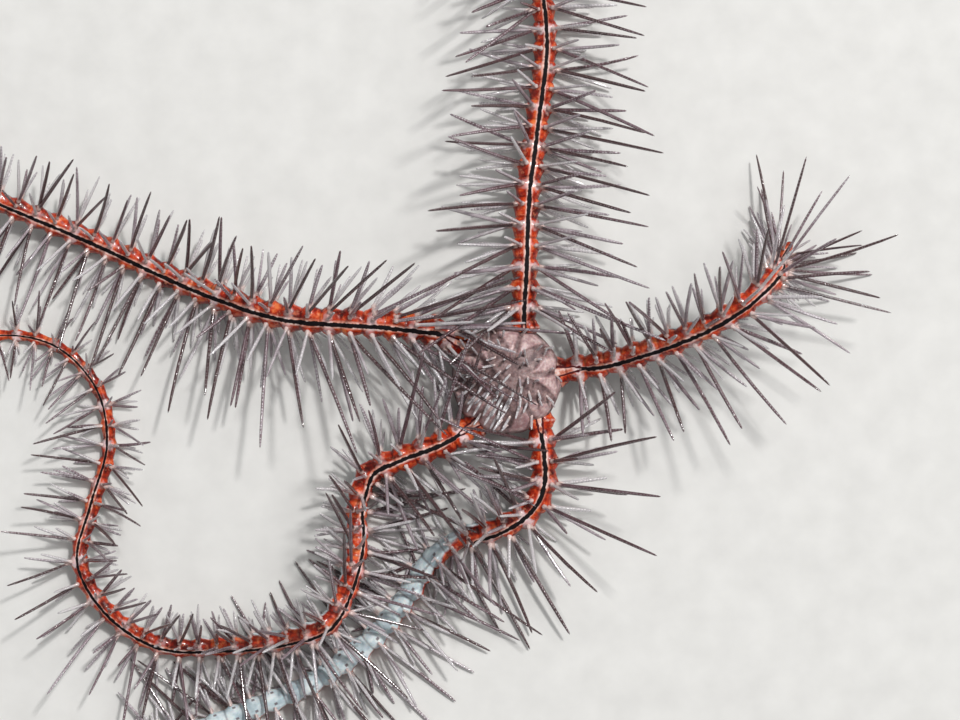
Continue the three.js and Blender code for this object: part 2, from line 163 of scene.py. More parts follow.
# Rows of spines on each side, from the back of the arm down: rise above the level in degrees,
# length and thickness in mm, how dark the glass is, and lean towards the tip in degrees.
SPINE_ROWS = np.array([
    (57, 6.4, 0.38, 0.25, 12),
    (37, 13.2, 0.38, 0.9, -7),
    (21, 8.4, 0.4, 0.45, 6),
    (7, 6.0, 0.38, 0.12, -9),
    (-7, 4.7, 0.34, 0.05, 8),
    (-21, 3.6, 0.3, 0.0, -4),
    (-35, 2.7, 0.26, 0.0, 0),
])
# Where in each joint the spines stand, as a share of its length.
SPINE_PLACE = 0.6

# Relief of an arm of full width, in mm.
FULL_WIDTH = 2.6
MEAN_RADIUS = 1.22
BULGE = 0.24
GROOVE_DEPTH = 0.13
GROOVE_REACH = 0.13
LAP = 0.07
KNOB_HEIGHT = 0.24
KNOB_REACH = 0.23
SIDE_PLATE_TURN = np.radians(82)


def arm_relief(joint, turn, half):
    """How far the skin stands out, in mm, at a joint number and a turn from the middle of the
    back: the side plates bulge as a half sine along each joint, the plates dip in a groove
    where joints meet and each rises towards its far edge, and at the foot of each spine stands
    a round knob, a Gaussian of the distance from it. Returns the relief and the knobs alone."""
    size = 2 * half / FULL_WIDTH
    place = joint - np.floor(joint)
    beside = np.exp(-((np.abs(turn) - SIDE_PLATE_TURN) / 0.62) ** 2)
    bulge = BULGE * beside * (np.sin(np.pi * (place - 0.08)) ** 2 - 0.28)
    off_back = 1 - np.exp(-((turn / 0.5) ** 2))
    to_groove = np.minimum(place, 1 - place) * JOINT_PITCH
    groove = -GROOVE_DEPTH * off_back * np.exp(-((to_groove / GROOVE_REACH) ** 2))
    lap = LAP * (place - 0.5) * (1 - 0.6 * beside) * off_back
    knobs = np.zeros(np.broadcast(joint, turn).shape)
    for rise in SPINE_ROWS[:, 0]:
        off = (np.abs(turn) - np.radians(90 - rise)) * MEAN_RADIUS
        ahead = (place - SPINE_PLACE) * JOINT_PITCH
        knobs = np.maximum(knobs, np.exp(-(off**2 + ahead**2) / KNOB_REACH**2))
    return (bulge + groove + lap + KNOB_HEIGHT * knobs) * size, knobs


def tube_faces(rings, around):
    """Triangles of a tube closed all round and drawn to a point at its first and last ring, as
    numbers into its points, and the same triangles as numbers into the grid of rings by
    around + 1 that a map cut along the seam needs."""
    i, j = np.mgrid[0:rings - 1, 0:around]
    a = i * (around + 1) + j
    c = a + around + 1
    cut = np.stack([a, a + 1, c + 1, a, c + 1, c], -1).reshape(-1, 3)
    point = 1 + (np.arange(rings)[:, None] - 1) * around + np.arange(around + 1) % around
    point[0] = 0
    point[-1] = 1 + (rings - 2) * around
    joined = point.ravel()[cut]
    whole = (joined[:, 0] != joined[:, 1]) & (joined[:, 1] != joined[:, 2])
    whole &= joined[:, 0] != joined[:, 2]
    return joined[whole], cut[whole]


def tube_points(grid):
    """The points of a tube's grid once each, poles first and last."""
    return np.vstack([grid[:1, 0], grid[1:-1, :-1].reshape(-1, grid.shape[-1]), grid[-1:, 0]])


def make_piece(name, points, faces, maps, values, materials, numbers=None):
    """A mesh object from arrays: points in mm, triangles, maps that give each corner a place,
    values that give each point a number, and the material number of each triangle."""
    mesh = bpy.data.meshes.new(name)
    mesh.vertices.add(len(points))
    mesh.vertices.foreach_set("co", (points * MM).ravel())
    mesh.loops.add(faces.size)
    mesh.loops.foreach_set("vertex_index", faces.ravel().astype(np.int32))
    mesh.polygons.add(len(faces))
    mesh.polygons.foreach_set("loop_start", np.arange(0, faces.size, 3, dtype=np.int32))
    mesh.polygons.foreach_set("use_smooth", np.ones(len(faces), bool))
    for material in materials:
        mesh.materials.append(material)
    if numbers is not None:
        mesh.polygons.foreach_set("material_index", numbers.astype(np.int32))
    for map_name, corners in maps.items():
        mesh.uv_layers.new(name=map_name).uv.foreach_set("vector", corners.ravel())
    for value_name, numbers_at in values.items():
        mesh.attributes.new(value_name, "FLOAT", "POINT").data.foreach_set("value", numbers_at)
    mesh.update(calc_edges=True)
    mesh.validate()
    piece = bpy.data.objects.new(name, mesh)
    bpy.context.scene.collection.objects.link(piece)
    return piece


# The skin laid flat, in mm on a square sheet: the arms' halves in strips, the disc beside them.
SHEET = 78.0
FIRST_STRIP = (0.4, 0.5)
STRIP_LENGTH = 57.0
STRIP_HEIGHT = 7.6
STRIP_PITCH = 8.5
DISC_ON_SHEET = np.array([68.5, 9.0])
UNDERSIDE_ON_SHEET = 26.0
strip = 0
for arm in ARMS.values():
    arm["strip"] = strip
    strip += int(np.ceil((arm["length"] + UNDER_DISC) / STRIP_LENGTH))


def laid_flat(arm, along, turn):
    """Place on the sheet of a point of an arm: distance along its strip, and turn across it."""
    along, turn = np.broadcast_arrays(along, turn)
    number = np.minimum((along + UNDER_DISC) // STRIP_LENGTH, 1)
    x = FIRST_STRIP[0] + along + UNDER_DISC - number * STRIP_LENGTH
    across = (turn / np.pi + 1) / 2 * STRIP_HEIGHT
    y = FIRST_STRIP[1] + (arm["strip"] + number) * STRIP_PITCH + across
    return np.stack([x, y], -1) / SHEET


def arm_surface(arm):
    """An arm's skin as rings of points: an ellipse in each cross-section, moved out by the
    relief, cut flat at the floor and rounded off at its tip."""
    tip = np.linspace(0, np.pi / 2, 6)
    fine = np.arange(-UNDER_DISC, FINE_REACH, FINE_STEP)[:int((arm["length"] + 2) / FINE_STEP)]
    along = np.concatenate([
        [-UNDER_DISC], fine, np.arange(FINE_REACH, arm["length"] - BEFORE_TIP, COARSE_STEP),
        arm["length"] - TIP_ROUND * (1 - np.sin(tip)),
    ])
    middle, forward, up, side, half = sections(arm, along)
    half = half[:, None] * SKIN_SHARE
    turn = np.linspace(-np.pi, np.pi, AROUND + 1)[None, :]
    relief, knobs = arm_relief(along[:, None] / JOINT_PITCH, turn, half)
    closing = np.ones((len(along), 1))
    closing[0] = 0
    closing[-len(tip):, 0] = np.cos(tip)
    closing[-1] = 0
    grid = middle[:, None] + side[:, None] * (closing * (half + relief) * np.sin(turn))[..., None]
    grid += up[:, None] * (closing * (half * HEIGHT_TO_WIDTH + relief) * np.cos(turn))[..., None]
    grid[..., 2] = np.maximum(grid[..., 2], 0.01)
    joint = np.stack(np.broadcast_arrays(along[:, None] / JOINT_PITCH, turn / np.pi), -1)
    past_start = np.broadcast_to(along[:, None] - arm["line_from"], knobs.shape)
    return (grid, joint, laid_flat(arm, along[:, None], turn), knobs * (closing > 0.9),
            past_start)


# Disc
# The round body is a low dome under a thin leathery skin. Ten stiff three-cornered plates, two
# over the root of each arm, show through it as smooth pale fields; the skin between them is
# grained and set with short spines. Its underside is flat, with a ridge to each arm.

DISC_AT_ARM = 5.8
DISC_BETWEEN = 5.45
DISC_TOP = 4.5
DISC_RIM = 2.7
DISC_UNDER = 0.95
DISC_AROUND = 180
RIM_INSET = 0.06
NOTCH_DEPTH = 0.75
SKIN_SUNK = 0.12
PLATE_RISE = 0.24
WRINKLE_HEIGHT = 0.03
RIDGE_HEIGHT = 0.3
# Rings on the dome, ending at the rim, then three round the rim and the rest underneath.
DOME_RINGS = 42


def nearest_arm(angle):
    """Signed turn to the nearest arm, and how close it is: 1 along an arm, 0 midway."""
    angles = np.radians([arm["angle"] for arm in ARMS.values()])
    off = (angle[..., None] - angles + np.pi) % (2 * np.pi) - np.pi
    order = np.sort(np.abs(off), axis=-1)
    nearest = np.take_along_axis(off, np.argmin(np.abs(off), -1)[..., None], -1)[..., 0]
    return nearest, 1 - 2 * order[..., 0] / (order[..., 0] + order[..., 1])


def disc_top(share):
    """Height of the dome over a share of its radius: a power curve, full to near the rim."""
    return DISC_RIM + (DISC_TOP - DISC_RIM) * (1 - np.minimum(share, 1) ** 2.4) ** 0.8


def shield(share, turn, close):
    """1 on a plate and 0 off it: a three-cornered field from a point at a third of the radius
    that widens to the rim, beside the line over the arm. Its edges are 0.24 mm smooth steps."""
    inner = np.abs(turn) * share * 5.6 - 0.14
    reach = np.clip((share - 0.26) / 0.7, 0, 1) ** 0.8
    outer = (close - 1 + 0.93 * reach) * share * 3.2
    ends = np.minimum((share - 0.3) * 5.6, (0.99 - share) * 5.6)
    t = np.clip(np.minimum(np.minimum(inner, outer), ends) / 0.24, 0, 1)
    return t * t * (3 - 2 * t)


def disc_surface():
    """The disc as rings of points from the middle of its top, over the rim and back to the
    middle of its underside. The plates stand out, the skin between them sags and wrinkles, and
    the rim has a notch over each arm."""
    share = np.concatenate([np.linspace(0, 0.9, 34), np.linspace(0.915, 1, 8), [1.0, 0.985, 0.95],
                            np.linspace(0.88, 0, 14)])[:, None]
    height = np.concatenate([disc_top(share[:DOME_RINGS, 0]), [2.1, 1.5, 1.1],
                             np.full(14, DISC_UNDER)])
    above = (np.arange(len(share)) < DOME_RINGS)[:, None]
    angle = -np.linspace(0, 2 * np.pi, DISC_AROUND + 1)[None, :]
    turn, close = nearest_arm(angle)
    turn = np.broadcast_to(turn, (len(share), DISC_AROUND + 1))
    radius = DISC_BETWEEN + (DISC_AT_ARM - DISC_BETWEEN) * close**2 - RIM_INSET
    notch = np.exp(-((turn / 0.15) ** 2)) * np.clip((share - 0.6) / 0.4, 0, 1)
    radius = radius - NOTCH_DEPTH * notch
    plate = shield(share, turn, close) * above
    x = share * radius * np.cos(angle)
    y = share * radius * np.sin(angle)
    wrinkle = np.sin(5.1 * x + 1.7 * np.sin(3.2 * y)) * np.sin(4.6 * y + 1.3 * np.sin(2.9 * x))
    z = height[:, None] - SKIN_SUNK * above + PLATE_RISE * plate
    z = z + WRINKLE_HEIGHT * wrinkle * (above - plate)
    underneath = (height <= DISC_UNDER)[:, None]
    ridge = np.exp(-((turn * share / 0.2) ** 2)) * (share > 0.52) * underneath
    z = z - RIDGE_HEIGHT * ridge
    flat_reach = np.append(0, np.cumsum(np.hypot(np.diff(share[:, 0] * 5.6), np.diff(height))))
    under = np.arange(len(share)) > DOME_RINGS
    flat_reach = np.where(under, flat_reach[-1] - flat_reach, flat_reach)[:, None]
    sheet_x = DISC_ON_SHEET[0] + flat_reach * np.cos(angle)
    middle_y = np.where(under, UNDERSIDE_ON_SHEET, DISC_ON_SHEET[1])[:, None]
    sheet_y = middle_y + flat_reach * np.sin(angle)
    return (
        np.stack([x, y, z], -1),
        np.stack(np.broadcast_arrays(share, turn / np.pi), -1),
        np.stack([sheet_x, sheet_y], -1) / SHEET,
        plate,
        np.zeros(plate.shape),
    )


def linear(colour):
    """The linear colour of an sRGB hex value."""
    srgb = np.array([int(colour[i:i + 2], 16) for i in (1, 3, 5)]) / 255
    return (*np.where(srgb <= 0.04045, srgb / 12.92, ((srgb + 0.055) / 1.055) ** 2.4), 1.0)


def add(material, kind, settings=None, inputs=None, stops=None):
    """Adds a node to a material: its settings, its inputs as values or as other nodes' outputs,
    and a colour ramp's stops, each a place and a hex colour."""
    tree = material.node_tree
    node = tree.nodes.new(kind)
    for name, value in (settings or {}).items():
        setattr(node, name, value)
    for socket, value in (inputs or {}).items():
        if isinstance(value, bpy.types.NodeSocket):
            tree.links.new(value, node.inputs[socket])
        else:
            node.inputs[socket].default_value = value
    for number, (place, colour) in enumerate(stops or []):
        ramp = node.color_ramp.elements
        stop = ramp[number] if number < len(ramp) else ramp.new(place)
        stop.position = place
        stop.color = linear(colour)
    return node


def new_material(name):
    """An empty material made of nodes."""
    material = bpy.data.materials.new(name)
    material.use_nodes = True
    material.node_tree.nodes.clear()
    return material


# Arm plates: limestone under thin skin, smooth and wet-looking. The red is clouded at about a
# millimetre. A black line runs down the back between two ragged pale lines, forks in two dark
# red ones by the disc, and has a pale patch on both sides at every other joint, some of them
# faint. The underside is chalky, with a crease at each joint and two rows of dark pores.
plates = new_material("skinned_limestone_arm_plates")
here = add(plates, "ShaderNodeTexCoord").outputs["Object"]
joint_map = add(plates, "ShaderNodeUVMap", {"uv_map": "Joint"})
joint_place = add(plates, "ShaderNodeSeparateXYZ", inputs={0: joint_map.outputs[0]})
round_arm = add(plates, "ShaderNodeMath", {"operation": "ABSOLUTE"},
                {0: joint_place.outputs["Y"]}).outputs[0]
clouds = add(plates, "ShaderNodeTexNoise", inputs={"Vector": here, "Scale": 1 / (1.1 * MM),
                                                   "Detail": 3.0, "Roughness": 0.6})
ragged = add(plates, "ShaderNodeTexNoise", inputs={"Vector": here, "Scale": 1 / (0.55 * MM),
                                                   "Detail": 2.0}).outputs["Fac"]
patchy = add(plates, "ShaderNodeTexNoise", inputs={"Vector": here, "Scale": 1 / (3.4 * MM),
                                                   "Detail": 1.0}).outputs["Fac"]
red = add(plates, "ShaderNodeValToRGB", inputs={0: clouds.outputs["Fac"]}, stops=[
    (0.34, "#520d06"), (0.45, "#921e09"), (0.56, "#c33a12"), (0.7, "#e4763f")])
ragged_turn = add(plates, "ShaderNodeMath", {"operation": "MULTIPLY_ADD"},
                  {0: ragged, 1: 0.12, 2: round_arm}).outputs[0]
below = add(plates, "ShaderNodeMapRange", inputs={"Value": ragged_turn, 1: 0.53, 2: 0.62})
chalky = add(plates, "ShaderNodeValToRGB", inputs={0: clouds.outputs["Fac"]}, stops=[
    (0.36, "#a9b9bf"), (0.5, "#c5d3d7"), (0.66, "#e2e9e8")])
fleck_noise = add(plates, "ShaderNodeTexNoise", inputs={
    "Vector": here, "Scale": 1 / (0.42 * MM), "Detail": 2.0, "Distortion": 0.6}).outputs["Fac"]
fleck = add(plates, "ShaderNodeMapRange", inputs={"Value": fleck_noise, 1: 0.56, 2: 0.68, 4: 0.5})
flecked = add(plates, "ShaderNodeMix", {"data_type": "RGBA"}, {
    0: fleck.outputs[0], 6: red.outputs[0], 7: linear("#e28a66")})
under_pale = add(plates, "ShaderNodeMix", {"data_type": "RGBA"}, {
    0: below.outputs[0], 6: flecked.outputs[2], 7: chalky.outputs[0]})
uneven_turn = add(plates, "ShaderNodeMath", {"operation": "MULTIPLY_ADD"},
                  {0: patchy, 1: 0.13, 2: ragged_turn}).outputs[0]
beside_line = add(plates, "ShaderNodeMapRange", inputs={"Value": uneven_turn, 1: 0.238, 2: 0.193})
fine_turn = add(plates, "ShaderNodeMath", {"operation": "MULTIPLY_ADD"},
                {0: ragged, 1: 0.09, 2: round_arm}).outputs[0]
past_start = add(plates, "ShaderNodeAttribute", {"attribute_name": "past_start"}).outputs["Fac"]
ragged_start = add(plates, "ShaderNodeMath", {"operation": "MULTIPLY_ADD"},
                   {0: ragged, 1: 0.8, 2: past_start}).outputs[0]
from_disc = add(plates, "ShaderNodeMapRange", inputs={"Value": ragged_start, 1: 0.3, 2: 0.5})
fork_turn = add(plates, "ShaderNodeMath", {"operation": "MULTIPLY_ADD"},
                {0: past_start, 1: 0.03, 2: fine_turn})
fork_off = add(plates, "ShaderNodeMath", {"operation": "SUBTRACT"},
               {0: fork_turn.outputs[0], 1: 0.09})
in_fork = add(plates, "ShaderNodeMapRange", inputs={"Value": fork_off.outputs[0],
                                                    1: 0.0, 2: -0.02})
pale_near = add(plates, "ShaderNodeMix", inputs={
    0: from_disc.outputs[0], 2: in_fork.outputs[0], 3: beside_line.outputs[0]})
border_tone = add(plates, "ShaderNodeValToRGB", inputs={0: ragged}, stops=[
    (0.36, "#c56a50"), (0.5, "#dfa08d"), (0.62, "#f3d6cd")])
bordered = add(plates, "ShaderNodeMix", {"data_type": "RGBA"}, {
    0: pale_near.outputs[0], 6: under_pale.outputs[2], 7: border_tone.outputs[0]})
off_knob = add(plates, "ShaderNodeMath", {"operation": "SUBTRACT"},
               {0: joint_place.outputs["X"], 1: SPINE_PLACE}).outputs[0]
even_joint = add(plates, "ShaderNodeMath", {"operation": "PINGPONG"},
                 {0: off_knob, 1: 1.0}).outputs[0]
blotch_rough = add(plates, "ShaderNodeMath", {"operation": "MULTIPLY_ADD"},
                   {0: ragged, 1: 0.5, 2: even_joint}).outputs[0]
blotch_here = add(plates, "ShaderNodeMapRange", inputs={"Value": blotch_rough, 1: 0.52, 2: 0.38,
                                                        4: 0.8})
blotch_near = add(plates, "ShaderNodeMapRange", inputs={"Value": ragged_turn, 1: 0.42, 2: 0.3})
blotch_full = add(plates, "ShaderNodeMath", {"operation": "MULTIPLY"},
                  {0: blotch_here.outputs[0], 1: blotch_near.outputs[0]})
blotch_some = add(plates, "ShaderNodeMapRange", inputs={"Value": patchy, 1: 0.42, 2: 0.58,
                                                        3: 0.35})
blotch = add(plates, "ShaderNodeMath", {"operation": "MULTIPLY"},
             {0: blotch_full.outputs[0], 1: blotch_some.outputs[0]})
blotched = add(plates, "ShaderNodeMix", {"data_type": "RGBA"}, {
    0: blotch.outputs[0], 6: bordered.outputs[2], 7: linear("#ecd6d6")})
knob = add(plates, "ShaderNodeAttribute", {"attribute_name": "knob"})
knob_ramp = add(plates, "ShaderNodeMapRange", inputs={"Value": knob.outputs["Fac"],
                                                      1: 0.45, 2: 0.95, 4: 0.7})
knobbed = add(plates, "ShaderNodeMix", {"data_type": "RGBA"}, {
    0: knob_ramp.outputs[0], 6: blotched.outputs[2], 7: linear("#edc4b8")})
joint_share = add(plates, "ShaderNodeMath", {"operation": "PINGPONG"},
                  {0: joint_place.outputs["X"], 1: 0.5}).outputs[0]
crease = add(plates, "ShaderNodeMapRange", inputs={"Value": joint_share, 1: 0.08, 2: 0.02,
                                                   4: 0.45})
creased = add(plates, "ShaderNodeMix", {"data_type": "RGBA", "blend_type": "MULTIPLY"}, {
    0: crease.outputs[0], 6: knobbed.outputs[2], 7: linear("#7c4a4c")})
pore_turn = add(plates, "ShaderNodeMath", {"operation": "SUBTRACT"}, {0: round_arm, 1: 0.8})
pore_off = add(plates, "ShaderNodeMath", {"operation": "ABSOLUTE"}, {0: pore_turn.outputs[0]})
pore_across = add(plates, "ShaderNodeMapRange", inputs={"Value": pore_off.outputs[0],
                                                        1: 0.05, 2: 0.03})
pore_along = add(plates, "ShaderNodeMapRange", inputs={"Value": joint_share, 1: 0.4, 2: 0.44,
                                                       4: 0.8})
pore = add(plates, "ShaderNodeMath", {"operation": "MULTIPLY"},
           {0: pore_across.outputs[0], 1: pore_along.outputs[0]})
pored = add(plates, "ShaderNodeMix", {"data_type": "RGBA"}, {
    0: pore.outputs[0], 6: creased.outputs[2], 7: linear("#5a4348")})
line_here = add(plates, "ShaderNodeMapRange", inputs={"Value": fine_turn, 1: 0.105, 2: 0.096})
fork_away = add(plates, "ShaderNodeMath", {"operation": "ABSOLUTE"}, {0: fork_off.outputs[0]})
fork = add(plates, "ShaderNodeMapRange", inputs={"Value": fork_away.outputs[0],
                                                 1: 0.034, 2: 0.018})
line_or_fork = add(plates, "ShaderNodeMix", inputs={
    0: from_disc.outputs[0], 2: fork.outputs[0], 3: line_here.outputs[0]})
line_tone = add(plates, "ShaderNodeMix", {"data_type": "RGBA"}, {
    0: from_disc.outputs[0], 6: linear("#4e1217"), 7: linear("#120a0d")})
lined = add(plates, "ShaderNodeMix", {"data_type": "RGBA"}, {
    0: line_or_fork.outputs[0], 6: pored.outputs[2], 7: line_tone.outputs[2]})
grain = add(plates, "ShaderNodeTexNoise", inputs={"Vector": here, "Scale": 1 / (0.22 * MM),
                                                  "Detail": 2.0}).outputs["Fac"]
grain_bump = add(plates, "ShaderNodeBump", inputs={"Height": grain, "Strength": 0.5,
                                                   "Distance": 0.06 * MM})
plate_gloss = add(plates, "ShaderNodeMapRange", inputs={"Value": grain, 3: 0.2, 4: 0.46})
line_matt = add(plates, "ShaderNodeMix", inputs={
    0: line_or_fork.outputs[0], 2: plate_gloss.outputs[0], 3: 0.8})
wet = add(plates, "ShaderNodeMapRange", inputs={"Value": line_or_fork.outputs[0], 3: 0.4, 4: 0.0})
plate_shader = add(plates, "ShaderNodeBsdfPrincipled", inputs={
    "Base Color": lined.outputs[2], "Roughness": line_matt.outputs[0],
    "Normal": grain_bump.outputs[0], "IOR": 1.4, "Specular IOR Level": 0.3,
    "Coat Weight": wet.outputs[0], "Coat Roughness": 0.08,
    "Subsurface Weight": 0.1, "Subsurface Scale": 0.4 * MM})
add(plates, "ShaderNodeOutputMaterial", inputs={0: plate_shader.outputs[0]})

# Disc skin: thin leather over plates. The plates are smooth, pale and dusty pink with
# faint wavy growth lines; the skin between is mottled darker and grained.
GROWTH_LINE = 0.32
leather = new_material("leathery_disc_skin")
here = add(leather, "ShaderNodeTexCoord").outputs["Object"]
plate_here = add(leather, "ShaderNodeAttribute", {"attribute_name": "knob"}).outputs["Fac"]
mottle = add(leather, "ShaderNodeTexNoise", inputs={"Vector": here, "Scale": 1 / (0.8 * MM),
                                                    "Detail": 4.0, "Roughness": 0.65})
between = add(leather, "ShaderNodeValToRGB", inputs={0: mottle.outputs["Fac"]}, stops=[
    (0.34, "#563f40"), (0.46, "#735a59"), (0.56, "#8d7371"), (0.7, "#b09693")])
growth = add(leather, "ShaderNodeTexWave", {"wave_type": "RINGS", "rings_direction": "Z"}, {
    "Vector": here, "Scale": np.pi / 10 / (GROWTH_LINE * MM), "Distortion": 4.0, "Detail": 2.0,
    "Detail Scale": 0.8})
streaked = add(leather, "ShaderNodeMath", {"operation": "MULTIPLY_ADD"},
               {0: growth.outputs["Fac"], 1: 0.05, 2: mottle.outputs["Fac"]})
on_plate = add(leather, "ShaderNodeValToRGB", inputs={0: streaked.outputs[0]}, stops=[
    (0.38, "#987475"), (0.52, "#b39392"), (0.68, "#d8beba")])
fields = add(leather, "ShaderNodeMix", {"data_type": "RGBA"}, {
    0: plate_here, 6: between.outputs[0], 7: on_plate.outputs[0]})
leather_grain = add(leather, "ShaderNodeTexNoise", inputs={
    "Vector": here, "Scale": 1 / (0.3 * MM), "Detail": 3.0}).outputs["Fac"]
leather_height = add(leather, "ShaderNodeMath", {"operation": "MULTIPLY_ADD"},
                     {0: growth.outputs["Fac"], 1: 0.05, 2: leather_grain})
leather_bump = add(leather, "ShaderNodeBump", inputs={
    "Height": leather_height.outputs[0], "Strength": 0.5, "Distance": 0.05 * MM})
leather_gloss = add(leather, "ShaderNodeMapRange", inputs={"Value": plate_here, 3: 0.5, 4: 0.3})
leather_shader = add(leather, "ShaderNodeBsdfPrincipled", inputs={
    "Base Color": fields.outputs[2], "Roughness": leather_gloss.outputs[0],
    "Normal": leather_bump.outputs[0], "IOR": 1.4,
    "Subsurface Weight": 0.15, "Subsurface Scale": 0.6 * MM})
add(leather, "ShaderNodeOutputMaterial", inputs={0: leather_shader.outputs[0]})

# The skin of arms and disc is one piece.
points, faces, joint_corners, flat_corners = [], [], [], []
knobs_at, past_starts, numbers = [], [], []
for surface in [*(arm_surface(arm) for arm in ARMS.values()), disc_surface()]:
    grid, joint, flat, knob_grid, past_grid = surface
    joined, cut = tube_faces(grid.shape[0], grid.shape[1] - 1)
    faces.append(joined + sum(len(p) for p in points))
    points.append(tube_points(grid))
    knobs_at.append(tube_points(knob_grid[..., None])[:, 0])
    past_starts.append(tube_points(past_grid[..., None])[:, 0])
    joint_corners.append(joint.reshape(-1, 2)[cut])
    flat_corners.append(flat.reshape(-1, 2)[cut])
    numbers.append(np.full(len(joined), len(numbers) // len(ARMS)))
skin = make_piece(
    "skin", np.vstack(points), np.vstack(faces),
    {"OFBake": np.vstack(flat_corners), "Joint": np.vstack(joint_corners)},
    {"knob": np.concatenate(knobs_at), "past_start": np.concatenate(past_starts)},
    [plates, leather], np.concatenate(numbers),
)
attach(skin, "root")
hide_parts(*[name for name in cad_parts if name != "mouth"])

# Jaws
# Under the disc five pairs of small limestone jaws close on a five-rayed slit. They are part of
# the skeleton, set in the skin of the mouth, and bare and chalky.

JAW_GRIT = 0.12

jaw_stone = new_material("bare_limestone_jaws")
here = add(jaw_stone, "ShaderNodeTexCoord").outputs["Object"]
stone_grit = add(jaw_stone, "ShaderNodeTexNoise", inputs={
    "Vector": here, "Scale": 1 / (JAW_GRIT * MM), "Detail": 2.0}).outputs["Fac"]
stone_tone = add(jaw_stone, "ShaderNodeValToRGB", inputs={0: stone_grit}, stops=[
    (0.35, "#a89c98"), (0.6, "#d8d0ca")])
stone_bump = add(jaw_stone, "ShaderNodeBump", inputs={
    "Height": stone_grit, "Strength": 0.5, "Distance": 0.05 * MM})
stone_shader = add(jaw_stone, "ShaderNodeBsdfPrincipled", inputs={
    "Base Color": stone_tone.outputs[0], "Roughness": 0.62, "Normal": stone_bump.outputs[0]})
add(jaw_stone, "ShaderNodeOutputMaterial", inputs={0: stone_shader.outputs[0]})
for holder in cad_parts["mouth"].material_slots:
    holder.material = jaw_stone

# Arm spines
# Seven spines stand on the side plates of every joint and side, each a slim rod of clear
# limestone with a swollen foot and rows of fine thorns, jointed to a knob. The longest, near the
# top, are smoky mauve, the short lower ones nearly clear.

# Rings of a spine: on its foot at distances told in its thicknesses, on the rod at shares of
# what is left, and how wide each is as a share of the thickness.
FOOT_RINGS = np.array([0, 0.2, 0.6, 1.05, 1.5])
FOOT_SHAPE = np.array([0, 1.15, 1.5, 1.15, 0.92])
ROD_RINGS = np.array([0.25, 0.55, 0.84, 0.975, 1])
ROD_SHAPE = np.array([1.0, 0.96, 0.82, 0.5, 0])
SPINE_SIDES = 5
# How the spines stray from their rows: rise and lean in degrees either way, dark by a mean and
# a spread, length and thickness between two shares, and bend as a share of the length.
RISE_STRAY = 5
LEAN_STRAY = 8
DARK_STRAY = (-0.1, 0.22)
LENGTH_SHARES = (0.84, 1.08)
THICKNESS_SHARES = (0.9, 1.1)
BEND_STRAY = 0.03
# Every other spine of a row is this share as long.
SHORTER_ONES = 0.82
# In mm: a spine's foot off the skin, the room left over floor, arms and disc, and how far along
# its own arm a spine may lie close to it.
FOOT_OUT = 0.1
CLEAR_OF_FLOOR = 0.3
CLEAR_OF_ARMS = 0.35
CLEAR_OF_DISC = 0.4
OWN_STRETCH = 4
# The topmost spines of a tuft: how much steeper and further back, how many times as long, and
# how much darker.
TUFT_RISE = np.radians(15)
TUFT_BACK = 32
TUFT_LONGER = 1.9
TUFT_DARKER = 0.55
# From here out along an arm the spines have the fullness of its further part.
SPINE_CHANGE = 25
# Side of the patch on the sheet that a spine is laid on, as a share of the sheet.
PATCH = 0.003
# Distance between the places along the arms that spines are kept out of.
CORE_STEP = 0.7
# What is tried in turn where a spine would run into something: lift, swing in degrees towards
# the tip, and share of its length.
TRIES = [(0, 0, 1), (0.15, 0, 1), (0, 12, 1), (0, -12, 1), (0.3, 0, 1), (0.3, 18, 0.9),
         (0.3, -18, 0.9), (0.6, 0, 0.85), (0.2, 30, 0.8), (0.2, -30, 0.8), (1.0, 0, 0.75),
         (0, 0, 0.6), (1.2, 25, 0.6), (1.2, -25, 0.6), (0.4, 0, 0.35)]

grow = np.random.default_rng(57)
core_middle, core_half, core_arm, core_along = [], [], [], []
for number, arm in enumerate(ARMS.values()):
    stations = np.arange(0, arm["length"], CORE_STEP)
    core = sections(arm, stations)
    core_middle.append(core[0])
    core_half.append(core[4])
    core_arm.append(np.full(len(stations), number))
    core_along.append(stations)
core_middle, core_half, core_arm, core_along = map(
    np.concatenate, (core_middle, core_half, core_arm, core_along))


def runs_into(points, number, along):
    """Whether any of a spine's points, past its foot, lies in another arm, in a part of its own
    arm further on, or in the disc."""
    hit = np.zeros(len(points), bool)
    for step in range(2, points.shape[1]):
        at = points[:, step]
        apart = np.linalg.norm(at[:, None] - core_middle[None], axis=2)
        near = apart < core_half[None] + CLEAR_OF_ARMS
        own = np.abs(core_along[None] - along[:, None]) < OWN_STRETCH
        own &= (core_arm == number)[None]
        hit |= (near & ~own).any(axis=1)
        out = np.hypot(at[:, 0], at[:, 1])
        low = at[:, 2] < disc_top(out / DISC_AT_ARM) + CLEAR_OF_DISC
        hit |= (out < DISC_AT_ARM + 0.2) & low
    return hit


